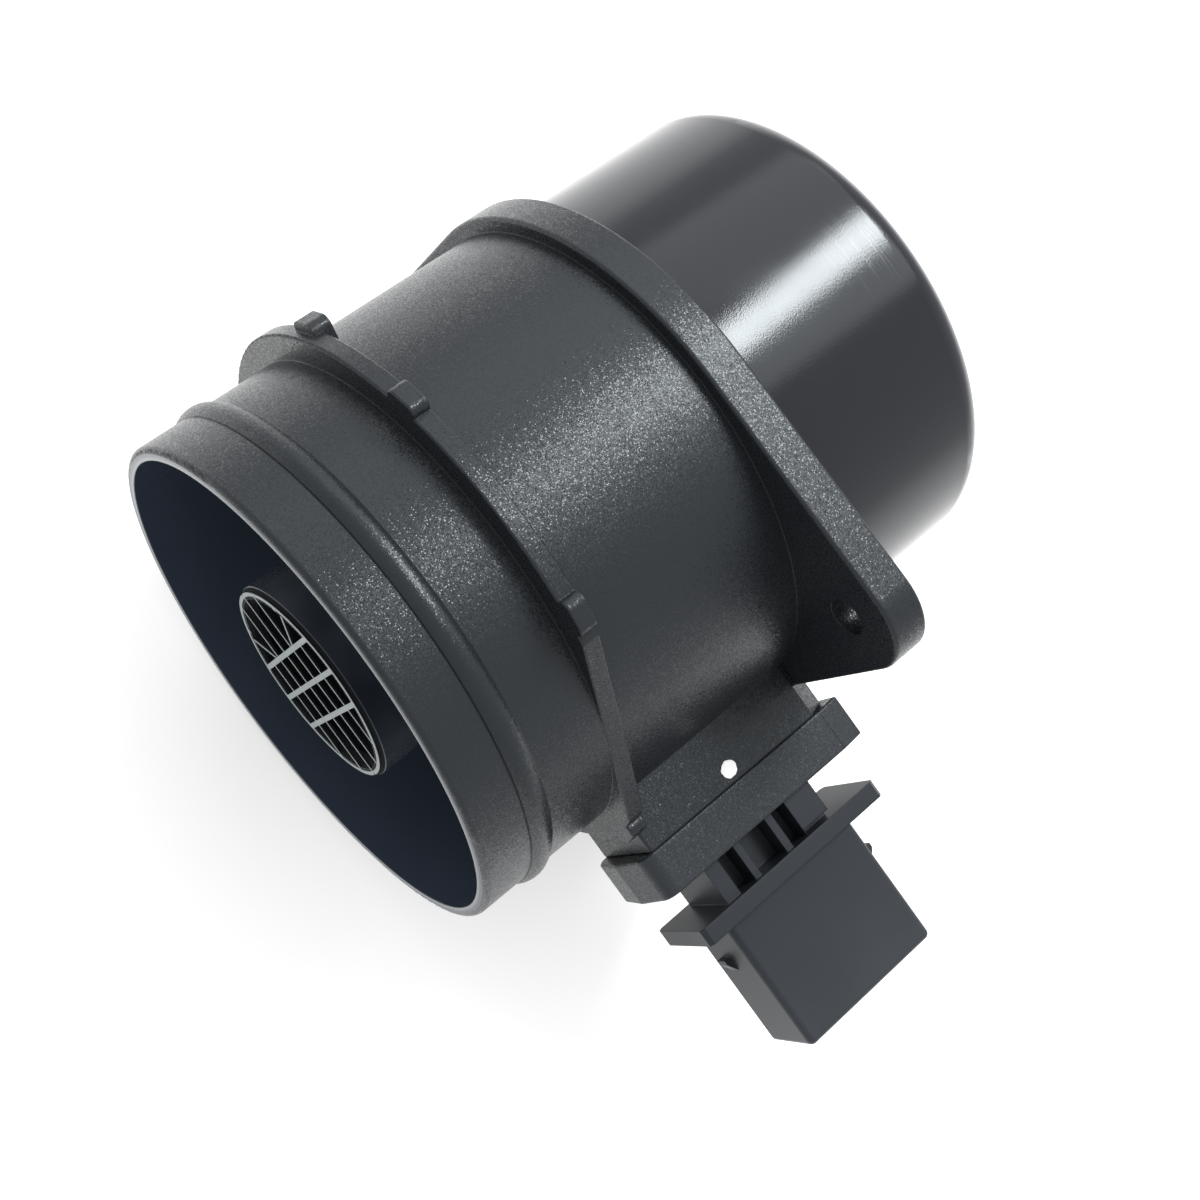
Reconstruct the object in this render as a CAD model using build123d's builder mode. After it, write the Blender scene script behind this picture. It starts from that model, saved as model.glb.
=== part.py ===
from build123d import *
import os

# Mass airflow sensor: a moulded air tube with a plug-in sensor module.
# Units are millimetres, +Z is up. X runs along the tube, from the outlet to the inlet, and x = 0 is
# the face of the fixing flange that seats on the air-filter box. The module plugs in from -Y.
# Cross-sections of the tube are drawn in (rise, reach): rise is +Z, and reach points at the connector.

# ---- Air tube -------------------------------------------------------------------------------
OUTLET_REACH = 67.8  # seat face to outlet rim
INLET_REACH = 38.1  # seat face to inlet lip
BORE_RADIUS = 40.0
TUBE_WALL = 2.0
RIM_ROUND = 0.9  # rounding of the outlet rim, outside
INLET_BORE_RADIUS = 38.4
INLET_WALL = 2.3
THROAT_RADIUS = 34.2  # narrowest bore, at the inlet lip
LIP_ROUND = 4.8  # rounding of the inlet lip, outside
THROAT_ROUND = 1.4  # rounding of the inlet lip, inside
CONE_LENGTH = 12.0  # bore grows from the inlet size to the outlet size over this length
CONE_LEAD = 4.0  # the cone starts this far on the inlet side of the seat face

BEAD_START = 8.4  # outlet rim to the hose bead
BEAD_WIDTH = 3.9
BEAD_HEIGHT = 0.9
BEAD_CREST = 1.3  # bead's front face to its highest line
BEAD_GROOVE = 0.15  # width and depth of the groove in front of the bead

RIB_START = 23.8  # outlet rim to the collar rib
RIB_THICKNESS = 3.0
RIB_HEIGHT = 4.2
RIB_EDGE_ROUND = 0.3
RIB_LUG_HEIGHT = 1.7
RIB_LUG_WIDTH = 5.6
RIB_LUG_ROUND = 1.5
RIB_LUG_ANGLES = (-29.5, 15.6, 76.0, 195.6)
RIB_TAB_ANGLE = -60.0  # the tab behind the rib, for turning the sensor in its box
RIB_TAB_DEPTH = 1.6
RIB_TAB_HEIGHT = 1.6  # above the rib
RIB_FLAT_CLEARANCE = 0.15  # the rib's flats clear the tube by this much, for the screwdriver
RIB_GAP_ANGLE = 100.0
RIB_GAP_WIDTH = 12.0

FLANGE_THICKNESS = 6.4
FLANGE_HEIGHT = 2.4
FLANGE_EDGE_ROUND = 0.6
EAR_ANGLE = 45.0
EAR_PCD = 104.0
EAR_RADIUS = 9.4
EAR_HOLE_RADIUS = 3.0

# ---- Sensor boss and the module's seat ------------------------------------------------------
BOSS_START = 25.9  # outlet rim to the boss
BOSS_LENGTH = 38.7
BOSS_WIDTH = 20.0
BOSS_BEVEL_LENGTH = 3.7  # bevels on the boss's rear corners, along the tube and across it
BOSS_BEVEL_WIDTH = 3.0
BOSS_EDGE_ROUND = 0.5
SEAT_EDGE_ROUND = 0.3
SEAT_REACH = 50.3  # tube axis to the boss's face
WELL_MARGIN = 5.6  # boss's front face to the well
WELL_LENGTH = 25.5
WELL_WIDTH = 15.0
WELL_ROUND = 3.0
PILOT_RADIUS = 1.6
SCREW_INSET = 2.7  # boss's front or rear face to a screw's axis
SCREW_DEPTH = 7.0  # length of thread in the boss
PILOT_RUN_OUT = 1.0

# ---- Inner measuring tube and its grids ------------------------------------------------------
MEASURING_RADIUS = 17.0
MEASURING_WALL = 1.5
MEASURING_BEVEL = 0.5  # around the front end, outside
MEASURING_INSET = 1.95  # outlet rim to the tube's front end
MEASURING_LENGTH = 60.0
VANE_THICKNESS = 1.8
VANE_START = 34.0
VANE_LENGTH = 20.0
VANE_ANGLES = (45.0, 135.0, 225.0, 315.0)
SLOT_CLEARANCE = 0.3  # around the module's finger

GRID_THICKNESS = 0.35
GRID_RIM = 1.1
GRID_BAR_PITCH = 5.2
GRID_BAR_WIDTH = 0.4
GRID_CROSS_PITCH = 5.65
GRID_CROSS_WIDTH = 0.85
GRID_SPLAY_RISE = 6.0  # rise at which each splayed bar leaves the first cross bar
GRID_SPLAY_ANGLE = 48.0  # where each splayed bar meets the rim
GRID_COLLAR_DEPTH = 2.0  # the part of each grid that plugs into the measuring tube
GRID_COLLAR_WALL = 0.4
GRID_NOTCH = 0.5
STRAIGHTENER_THICKNESS = 1.6
STRAIGHTENER_PITCH = 4.1
STRAIGHTENER_BAR = 0.6

# ---- Sensor module: flange, neck, collar and connector shroud -------------------------------
MODULE_FLANGE_THICKNESS = 7.4
MODULE_OVERHANG_FRONT = 2.8  # the module's flange stands past the boss
MODULE_OVERHANG_REAR = 1.8
MODULE_FRONT_SKEW = 0.9  # how far the front face falls back towards its corners
MODULE_FRONT_ROUND = 2.5
MODULE_REAR_BEVEL_LENGTH = 3.9  # bevels on the rear corners, along the tube and across it
MODULE_REAR_BEVEL_WIDTH = 0.9
MODULE_WIDTH = 20.0
MODULE_EDGE_ROUND = 0.4

NECK_START = 31.9  # outlet rim to the neck
NECK_LENGTH = 22.8
NECK_WIDTH = 15.0
NECK_HEIGHT = 6.9
POCKET_DEPTH = 4.2
POCKETS = ((2.8, 3.3), (7.4, 5.6), (14.4, 2.9))  # each pocket's start along the neck, and its width
NECK_SLOT_HEIGHT = 0.9
NECK_SLOT_LENGTH = 5.4

COLLAR_START = 25.4  # outlet rim to the collar plate
COLLAR_LENGTH = 38.1
COLLAR_WIDTH = 17.4
COLLAR_THICKNESS = 2.9
COLLAR_CHAMFER = 0.7

SHROUD_START = 29.6  # outlet rim to the connector shroud
SHROUD_LENGTH = 27.4
SHROUD_WIDTH = 14.2
SHROUD_HEIGHT = 22.8
SHROUD_WALL = 1.5
SHROUD_ROUND = 1.1
SHROUD_TIP_ROUND = 1.0
SOCKET_DEPTH = 17.0
LATCH_START = 5.5  # collar plate to the latch nub
LATCH_LENGTH = 2.6
LATCH_CREST = 0.8  # length of the nub's full-height part
LATCH_WIDTH = 3.0
LATCH_FRONT_RISE = -1.4  # middle of the nub on the outlet side
LATCH_FRONT_HEIGHT = 1.1
LATCH_REAR_RISE = 3.3  # middle of the nub on the inlet side
LATCH_REAR_HEIGHT = 1.4
KEY_WIDTH = 2.0  # polarising key inside the socket
KEY_HEIGHT = 1.2
KEY_OFFSET = 6.0

# ---- Sensor module: the finger in the air stream --------------------------------------------
PLUG_CLEARANCE = 0.15  # between the module's plug and the well
PLUG_DEPTH = 7.0
SEAL_GROOVE_LIP = 1.6  # seat to the seal groove
SEAL_WIDTH = 2.4
SEAL_DEPTH = 1.5
SEAL_ROUND = 0.55
FINGER_LENGTH = 21.6  # along the tube
FINGER_THICKNESS = 10.0
FINGER_TIP = 9.0  # how far the finger passes the tube's axis
FINGER_ROUND = 2.0
COVER_THICKNESS = 1.2
COVER_CLEARANCE = 0.1
COVER_LEDGE = 1.2  # width of the ledge that carries each cover
POCKET_WALL = 1.9
POCKET_FLOOR = 2.8
ELECTRONICS_START = 20.0  # tube axis to the electronics pocket
ELECTRONICS_LENGTH = 22.4
CHANNEL_END = 13.6  # tube axis to the channel pocket's upper end
CHANNEL_TIP_WALL = 1.9
CHANNEL_DIVIDER = 1.2
CHANNEL_DIVIDER_LENGTH = 7.4
CHANNEL_PORT_LENGTH = 5.0
CHANNEL_PORT_START = 5.8  # finger tip's inner wall to the far side of the outlet port

# ---- Electronics -----------------------------------------------------------------------------
PART_CLEARANCE = 0.1  # around each piece in its pocket
CARRIER_THICKNESS = 1.0
BOARD_THICKNESS = 0.8
BOARD_INSET = 1.0
BOARD_START = 4.6  # carrier's inner edge to the board
HOLDER_WIDTH = 5.2
HOLDER_THICKNESS = 0.6
HOLDER_TIP = 1.2  # tube axis to the chip holder's tip
CHIP_LENGTH = 5.0
CHIP_WIDTH = 3.0
CHIP_THICKNESS = 0.5
CHIP_INSET = 1.2
SIGNAL_CHIP_SIZE = 5.0
SIGNAL_CHIP_HEIGHT = 1.2
SIGNAL_CHIP_START = 2.4
CAPACITOR_LENGTH = 2.6
CAPACITOR_WIDTH = 1.6
CAPACITOR_HEIGHT = 1.3
CAPACITOR_PITCH = 10.6
TERMINAL_COUNT = 5
TERMINAL_PITCH = 3.6
TERMINAL_SIZE = 0.8
TERMINAL_REACH = 9.0  # socket floor to a terminal's tip
TERMINAL_TAIL = 4.0  # length of terminal on the board
TERMINAL_POINT = 0.2  # bevel around a terminal's tip
THERMISTOR_RADIUS = 0.95
THERMISTOR_LEG_RADIUS = 0.3
THERMISTOR_LEG_PITCH = 1.3
THERMISTOR_STANDOFF = 1.3  # finger's face to the bead's centre
THERMISTOR_LEG_ROOT = 1.2  # length of each leg inside the finger
THERMISTOR_REACH = 27.0

# ---- Screws ----------------------------------------------------------------------------------
SCREW_HEAD_RADIUS = 2.8
SCREW_HEAD_HEIGHT = 2.6
SCREW_HEAD_ROUND = 0.8
SCREW_HEAD_COVER = 0.3  # how far the head lies below the flange's face
SCREW_SOCKET_RADIUS = 1.3
SCREW_SOCKET_DEPTH = 1.6
SCREW_PIN_RADIUS = 0.45
SCREW_HOLE_CLEARANCE = 0.25

PICK_TOLERANCE = 0.001  # for picking edges by their place

# ---- Worked out from the sizes above ---------------------------------------------------------
outer_radius = BORE_RADIUS + TUBE_WALL
inlet_radius = INLET_BORE_RADIUS + INLET_WALL
rib_radius = outer_radius + RIB_HEIGHT
flange_radius = outer_radius + FLANGE_HEIGHT
rim_x = -OUTLET_REACH
screw_spots = (rim_x + BOSS_START + SCREW_INSET, rim_x + BOSS_START + BOSS_LENGTH - SCREW_INSET)
screw_middle = sum(screw_spots) / 2
screw_spacing = screw_spots[1] - screw_spots[0]
well_x = rim_x + BOSS_START + WELL_MARGIN + WELL_LENGTH / 2
finger_x = well_x
module_face = SEAT_REACH + MODULE_FLANGE_THICKNESS
screw_seat = module_face - SCREW_HEAD_COVER - SCREW_HEAD_HEIGHT
collar_face = module_face + NECK_HEIGHT
shroud_base = collar_face + COLLAR_THICKNESS
shroud_tip = shroud_base + SHROUD_HEIGHT
socket_floor = shroud_tip - SOCKET_DEPTH
shroud_x = rim_x + SHROUD_START + SHROUD_LENGTH / 2
plug_length = WELL_LENGTH - 2 * PLUG_CLEARANCE
plug_width = WELL_WIDTH - 2 * PLUG_CLEARANCE
plug_inner = SEAT_REACH - PLUG_DEPTH
measuring_bore = MEASURING_RADIUS - MEASURING_WALL
measuring_x = rim_x + MEASURING_INSET
pocket_length = FINGER_LENGTH - 2 * POCKET_WALL
pocket_floor_z = POCKET_FLOOR - FINGER_THICKNESS / 2
cover_seat_z = FINGER_THICKNESS / 2 - COVER_THICKNESS
cover_length = pocket_length + 2 * COVER_LEDGE
board_base_z = pocket_floor_z + CARRIER_THICKNESS
board_top_z = board_base_z + BOARD_THICKNESS
terminal_z = board_top_z + TERMINAL_SIZE / 2
electronics_end = ELECTRONICS_START + ELECTRONICS_LENGTH
channel_start = CHANNEL_TIP_WALL - FINGER_TIP


def tube_section(x):
    """Plane across the tube at x, drawn in (rise, reach), facing the inlet."""
    return Plane(origin=(x, 0, 0), x_dir=(0, 0, 1), z_dir=(1, 0, 0))


def module_level(reach):
    """Plane across the module at this distance from the tube's axis, drawn in (x, rise)."""
    return Plane(origin=(0, -reach, 0), x_dir=(1, 0, 0), z_dir=(0, -1, 0))


def finger_level(rise):
    """Plane along the finger at this height, drawn in (x, y), facing up."""
    return Plane.XY.offset(rise)


def section_edges(part, x, beyond):
    """Edges that lie in the part's cross-section at x, further than this from the tube's axis."""
    in_section = part.edges().filter_by_position(Axis.X, x - PICK_TOLERANCE, x + PICK_TOLERANCE)
    return in_section.filter_by(lambda edge: Vector(0, (edge @ 0).Y, (edge @ 0).Z).length > beyond)


def level_edges(part, reach):
    """Edges that lie at this distance along the module."""
    return part.edges().filter_by_position(Axis.Y, -reach - PICK_TOLERANCE, -reach + PICK_TOLERANCE)


# ---- tube_housing: one moulding, with the spigot, bead, rib, flange, boss and vanes ----------
with BuildPart() as tube_housing:
    # Outside of the tube, turned about X.
    with BuildSketch(Plane.XY):
        with BuildLine():
            bead_x = rim_x + BEAD_START
            bead_end = bead_x + BEAD_WIDTH
            lip_x = INLET_REACH - LIP_ROUND
            lip_radius = inlet_radius - LIP_ROUND
            Line((rim_x, 0), (rim_x, outer_radius - RIM_ROUND))
            RadiusArc((rim_x, outer_radius - RIM_ROUND), (rim_x + RIM_ROUND, outer_radius), RIM_ROUND)
            Polyline(
                (rim_x + RIM_ROUND, outer_radius),
                (bead_x - BEAD_GROOVE, outer_radius),
                (bead_x, outer_radius - BEAD_GROOVE),
                (bead_x, outer_radius + BEAD_GROOVE),
            )
            ThreePointArc(
                (bead_x, outer_radius + BEAD_GROOVE),
                (bead_x + BEAD_CREST, outer_radius + BEAD_HEIGHT),
                (bead_end, outer_radius),
            )
            Polyline((bead_end, outer_radius), (0, outer_radius), (0, inlet_radius), (lip_x, inlet_radius))
            RadiusArc((lip_x, inlet_radius), (INLET_REACH, lip_radius), LIP_ROUND)
            Polyline((INLET_REACH, lip_radius), (INLET_REACH, 0), (rim_x, 0))
        make_face()
    revolve(axis=Axis.X)

    # Collar rib: its two flats leave a way for the screwdriver to the flange's ears.
    with BuildSketch(tube_section(rim_x + RIB_START)):
        Circle(rib_radius)
        with PolarLocations(rib_radius + RIB_LUG_HEIGHT / 2, 1, start_angle=RIB_GAP_ANGLE):
            Rectangle(RIB_HEIGHT + RIB_LUG_HEIGHT, RIB_GAP_WIDTH, mode=Mode.SUBTRACT)
        flat_distance = outer_radius + RIB_FLAT_CLEARANCE
        with PolarLocations(flat_distance + RIB_HEIGHT / 2, 2, start_angle=EAR_ANGLE):
            Rectangle(RIB_HEIGHT, 2 * rib_radius, mode=Mode.SUBTRACT)
        for angle in RIB_LUG_ANGLES:
            lug_depth = RIB_HEIGHT + RIB_LUG_HEIGHT
            with PolarLocations(outer_radius + lug_depth / 2, 1, start_angle=angle):
                RectangleRounded(lug_depth, RIB_LUG_WIDTH, RIB_LUG_ROUND)
    extrude(amount=RIB_THICKNESS)
    for face_x in (rim_x + RIB_START, rim_x + RIB_START + RIB_THICKNESS):
        fillet(section_edges(tube_housing, face_x, rib_radius - RIB_HEIGHT / 3), RIB_EDGE_ROUND)
    with BuildSketch(tube_section(rim_x + RIB_START + RIB_THICKNESS / 2)):
        tab_length = TUBE_WALL + RIB_HEIGHT + RIB_TAB_HEIGHT
        with PolarLocations(BORE_RADIUS + tab_length / 2, 1, start_angle=RIB_TAB_ANGLE):
            RectangleRounded(tab_length, RIB_LUG_WIDTH, RIB_LUG_ROUND)
    extrude(amount=RIB_THICKNESS / 2 + RIB_TAB_DEPTH)

    # Fixing flange: a disc with two ears, tangent to it, and an edge rounded on both faces.
    with BuildSketch(tube_section(-FLANGE_THICKNESS)):
        Circle(flange_radius)
        with PolarLocations(EAR_PCD / 2, 2, start_angle=EAR_ANGLE):
            Circle(EAR_RADIUS)
        make_hull()
    extrude(amount=FLANGE_THICKNESS)
    for face_x in (-FLANGE_THICKNESS, 0):
        fillet(section_edges(tube_housing, face_x, outer_radius + FLANGE_HEIGHT / 2), FLANGE_EDGE_ROUND)

    # Sensor boss, from inside the tube wall out to the module's seat.
    boss_front = rim_x + BOSS_START
    boss_rear = boss_front + BOSS_LENGTH
    with BuildPart(mode=Mode.PRIVATE) as boss:
        with BuildSketch(module_level(BORE_RADIUS / 2)):
            with BuildLine():
                boss_side = Polyline(
                    (boss_front, 0),
                    (boss_front, BOSS_WIDTH / 2),
                    (boss_rear - BOSS_BEVEL_LENGTH, BOSS_WIDTH / 2),
                    (boss_rear, BOSS_WIDTH / 2 - BOSS_BEVEL_WIDTH),
                    (boss_rear, 0),
                )
                mirror(boss_side, about=Plane.XZ)
            make_face()
            front_corners = vertices().group_by(Axis.X)[0].sort_by(Axis.Y)
            fillet([front_corners[0], front_corners[-1]], BOSS_EDGE_ROUND)
        extrude(amount=SEAT_REACH - BORE_RADIUS / 2)
        fillet(level_edges(boss, SEAT_REACH), SEAT_EDGE_ROUND)
    add(boss.part)

    # Bore: outlet size, a cone, and the inlet's throat with its rounded edge.
    with BuildSketch(Plane.XY):
        with BuildLine():
            throat_x = INLET_REACH - THROAT_ROUND
            mouth_radius = THROAT_RADIUS + THROAT_ROUND
            Polyline(
                (INLET_REACH, 0),
                (rim_x, 0),
                (rim_x, BORE_RADIUS),
                (CONE_LEAD - CONE_LENGTH, BORE_RADIUS),
                (CONE_LEAD, INLET_BORE_RADIUS),
                (throat_x, THROAT_RADIUS),
            )
            RadiusArc((throat_x, THROAT_RADIUS), (INLET_REACH, mouth_radius), -THROAT_ROUND)
            Line((INLET_REACH, mouth_radius), (INLET_REACH, 0))
        make_face()
    revolve(axis=Axis.X, mode=Mode.SUBTRACT)

    # Vanes that carry the measuring tube.
    with BuildSketch(tube_section(rim_x + VANE_START)):
        for angle in VANE_ANGLES:
            vane_length = BORE_RADIUS + TUBE_WALL / 2 - MEASURING_RADIUS / 2
            with PolarLocations(MEASURING_RADIUS / 2 + vane_length / 2, 1, start_angle=angle):
                Rectangle(vane_length, VANE_THICKNESS)
        Circle(MEASURING_RADIUS, mode=Mode.SUBTRACT)
    extrude(amount=VANE_LENGTH)

    # Well for the module's plug, two pilot holes for its screws, and the ears' holes.
    with BuildSketch(module_level(BORE_RADIUS / 2)):
        with Locations((well_x, 0)):
            RectangleRounded(WELL_LENGTH, WELL_WIDTH, WELL_ROUND)
    extrude(amount=SEAT_REACH, mode=Mode.SUBTRACT)
    with BuildSketch(module_level(SEAT_REACH)):
        with Locations((screw_middle, 0)), GridLocations(screw_spacing, 1, 2, 1):
            Circle(PILOT_RADIUS)
    extrude(amount=-(SCREW_DEPTH + PILOT_RUN_OUT), mode=Mode.SUBTRACT)
    with BuildSketch(tube_section(0)):
        with PolarLocations(EAR_PCD / 2, 2, start_angle=EAR_ANGLE):
            Circle(EAR_HOLE_RADIUS)
    extrude(amount=-FLANGE_THICKNESS, mode=Mode.SUBTRACT)

# ---- measuring_tube: the inner tube around the axis, slotted for the finger ------------------
with BuildPart() as measuring_tube:
    with BuildSketch(tube_section(measuring_x)):
        Circle(MEASURING_RADIUS)
        Circle(measuring_bore, mode=Mode.SUBTRACT)
    extrude(amount=MEASURING_LENGTH)
    front_circles = measuring_tube.edges().filter_by(GeomType.CIRCLE).group_by(Axis.X)[0]
    chamfer(front_circles.sort_by(SortBy.RADIUS)[-1], MEASURING_BEVEL)
    with BuildSketch(module_level(0)):
        with Locations((finger_x, 0)):
            Rectangle(FINGER_LENGTH + 2 * SLOT_CLEARANCE, FINGER_THICKNESS + 2 * SLOT_CLEARANCE)
    extrude(amount=MEASURING_RADIUS, mode=Mode.SUBTRACT)


grid_radius = MEASURING_RADIUS - MEASURING_BEVEL
rim_middle = grid_radius - GRID_RIM / 2


def bar_half_length(offset):
    """Half the length of a grid bar at this offset, from the middle to inside the grid's rim."""
    return (rim_middle**2 - offset**2) ** 0.5


# ---- outlet_grid: the thin metal guard at the front of the measuring tube --------------------
with BuildPart() as outlet_grid:
    with BuildSketch(tube_section(measuring_x)):
        Circle(grid_radius)
        Circle(grid_radius - GRID_RIM, mode=Mode.SUBTRACT)
        with PolarLocations(grid_radius, 2, start_angle=90):
            Rectangle(GRID_NOTCH, GRID_NOTCH, mode=Mode.SUBTRACT)
        # Three cross bars.
        for step in (-1, 0, 1):
            cross = step * GRID_CROSS_PITCH
            with Locations((0, cross)):
                Rectangle(2 * bar_half_length(cross), GRID_CROSS_WIDTH)
        # Five long bars from the first cross bar to the far rim, three of them right across.
        for step in (-2, -1, 0, 1, 2):
            bar = step * GRID_BAR_PITCH
            near_end = -bar_half_length(bar) if abs(step) < 2 else -GRID_CROSS_PITCH
            far_end = bar_half_length(bar)
            with Locations((bar, (near_end + far_end) / 2)):
                Rectangle(GRID_BAR_WIDTH, far_end - near_end)
        # Two splayed bars outside them.
        for side in (-1, 1):
            splay_foot = Vector(side * GRID_SPLAY_RISE, -GRID_CROSS_PITCH)
            splay_rim = Vector(0, -rim_middle).rotate(Axis.Z, side * GRID_SPLAY_ANGLE)
            splay = splay_rim - splay_foot
            splay_middle = (splay_rim + splay_foot) / 2
            splay_angle = Vector(1, 0).get_signed_angle(splay, Vector(0, 0, 1))
            with Locations(Location((splay_middle.X, splay_middle.Y), splay_angle)):
                Rectangle(splay.length, GRID_BAR_WIDTH)
    extrude(amount=-GRID_THICKNESS)
    with BuildSketch(tube_section(measuring_x)):
        Circle(measuring_bore)
        Circle(measuring_bore - GRID_COLLAR_WALL, mode=Mode.SUBTRACT)
    extrude(amount=GRID_COLLAR_DEPTH)

# ---- inlet_grid: the square-celled straightener at the rear of the measuring tube ------------
with BuildPart() as inlet_grid:
    measuring_end = measuring_x + MEASURING_LENGTH
    with BuildSketch(tube_section(measuring_end)):
        Circle(grid_radius)
        Circle(grid_radius - GRID_RIM, mode=Mode.SUBTRACT)
        bars_each_side = int((grid_radius - GRID_RIM) / STRAIGHTENER_PITCH)
        for step in range(-bars_each_side, bars_each_side + 1):
            offset_of_bar = step * STRAIGHTENER_PITCH
            length_of_bar = 2 * bar_half_length(offset_of_bar)
            with Locations((offset_of_bar, 0)):
                Rectangle(STRAIGHTENER_BAR, length_of_bar)
            with Locations((0, offset_of_bar)):
                Rectangle(length_of_bar, STRAIGHTENER_BAR)
    extrude(amount=STRAIGHTENER_THICKNESS)
    with BuildSketch(tube_section(measuring_end)):
        Circle(measuring_bore)
        Circle(measuring_bore - GRID_COLLAR_WALL, mode=Mode.SUBTRACT)
    extrude(amount=-GRID_COLLAR_DEPTH)

# ---- sensor_body: the module's one-piece moulding --------------------------------------------
module_front = rim_x + BOSS_START - MODULE_OVERHANG_FRONT
module_rear = rim_x + BOSS_START + BOSS_LENGTH + MODULE_OVERHANG_REAR
half_face = MODULE_WIDTH / 2
first_terminal_x = shroud_x - TERMINAL_PITCH * (TERMINAL_COUNT - 1) / 2
terminal_xs = [first_terminal_x + TERMINAL_PITCH * step for step in range(TERMINAL_COUNT)]

with BuildPart() as sensor_body:
    # Screw-down flange, rounded at the front and bevelled at the rear.
    with BuildSketch(module_level(SEAT_REACH)):
        with BuildLine():
            flange_side = Polyline(
                (module_front, 0),
                (module_front + MODULE_FRONT_SKEW, half_face),
                (module_rear - MODULE_REAR_BEVEL_LENGTH, half_face),
                (module_rear, half_face - MODULE_REAR_BEVEL_WIDTH),
                (module_rear, 0),
            )
            mirror(flange_side, about=Plane.XZ)
        make_face()
        fillet(vertices().group_by(Axis.X)[1], MODULE_FRONT_ROUND)
    extrude(amount=MODULE_FLANGE_THICKNESS)
    for level in (SEAT_REACH, module_face):
        fillet(level_edges(sensor_body, level), MODULE_EDGE_ROUND)

    # Neck, with three pockets and a slot in each long side.
    neck_x = rim_x + NECK_START
    with BuildSketch(module_level(module_face)):
        with Locations((neck_x + NECK_LENGTH / 2, 0)):
            Rectangle(NECK_LENGTH, NECK_WIDTH)
        for start, width in POCKETS:
            for edge_of_neck in (-NECK_WIDTH / 2, NECK_WIDTH / 2):
                with Locations((neck_x + start + width / 2, edge_of_neck)):
                    Rectangle(width, 2 * POCKET_DEPTH, mode=Mode.SUBTRACT)
    extrude(amount=NECK_HEIGHT)
    with BuildSketch(module_level(collar_face - NECK_SLOT_HEIGHT)):
        for edge_of_neck in (-NECK_WIDTH / 2, NECK_WIDTH / 2):
            with Locations((neck_x + NECK_LENGTH - NECK_SLOT_LENGTH / 2, edge_of_neck)):
                Rectangle(NECK_SLOT_LENGTH, POCKET_DEPTH)
    extrude(amount=NECK_SLOT_HEIGHT, mode=Mode.SUBTRACT)

    # Collar plate.
    with BuildSketch(module_level(collar_face)):
        with Locations((rim_x + COLLAR_START + COLLAR_LENGTH / 2, 0)):
            Rectangle(COLLAR_LENGTH, COLLAR_WIDTH)
        chamfer(vertices(), COLLAR_CHAMFER)
    extrude(amount=COLLAR_THICKNESS)

    # Connector shroud with its socket, a polarising key and two latch nubs.
    with BuildSketch(module_level(shroud_base)):
        with Locations((shroud_x, 0)):
            RectangleRounded(SHROUD_LENGTH, SHROUD_WIDTH, SHROUD_ROUND)
    extrude(amount=SHROUD_HEIGHT)
    fillet(level_edges(sensor_body, shroud_tip), SHROUD_TIP_ROUND)
    with BuildSketch(module_level(socket_floor)):
        with Locations((shroud_x, 0)):
            Rectangle(SHROUD_LENGTH - 2 * SHROUD_WALL, SHROUD_WIDTH - 2 * SHROUD_WALL)
        for key_x in (-KEY_OFFSET, KEY_OFFSET):
            with Locations((shroud_x + key_x, KEY_HEIGHT / 2 - SHROUD_WIDTH / 2 + SHROUD_WALL)):
                Rectangle(KEY_WIDTH, KEY_HEIGHT, mode=Mode.SUBTRACT)
    extrude(amount=SOCKET_DEPTH, mode=Mode.SUBTRACT)
    latches = ((-1, LATCH_FRONT_RISE, LATCH_FRONT_HEIGHT), (1, LATCH_REAR_RISE, LATCH_REAR_HEIGHT))
    latch_y = -shroud_base - LATCH_START
    for side, rise, height in latches:
        wall_x = shroud_x + side * SHROUD_LENGTH / 2
        with BuildSketch(finger_level(rise - LATCH_WIDTH / 2)):
            with BuildLine():
                Polyline(
                    (wall_x - side * SHROUD_WALL / 2, latch_y),
                    (wall_x - side * SHROUD_WALL / 2, latch_y - LATCH_LENGTH),
                    (wall_x, latch_y - LATCH_LENGTH),
                    (wall_x + side * height, latch_y - LATCH_CREST),
                    (wall_x + side * height, latch_y),
                    close=True,
                )
            make_face()
        extrude(amount=LATCH_WIDTH)

    # Plug that fills the well, with its seal groove.
    with BuildSketch(module_level(plug_inner)):
        with Locations((well_x, 0)):
            RectangleRounded(plug_length, plug_width, WELL_ROUND - PLUG_CLEARANCE)
    extrude(amount=PLUG_DEPTH)
    with BuildSketch(module_level(SEAT_REACH - SEAL_GROOVE_LIP - SEAL_WIDTH)):
        with Locations((well_x, 0)):
            Rectangle(plug_length + SEAL_DEPTH, plug_width + SEAL_DEPTH)
            RectangleRounded(
                plug_length - 2 * SEAL_DEPTH,
                plug_width - 2 * SEAL_DEPTH,
                WELL_ROUND - SEAL_DEPTH,
                mode=Mode.SUBTRACT,
            )
    extrude(amount=SEAL_WIDTH, mode=Mode.SUBTRACT)

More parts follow.
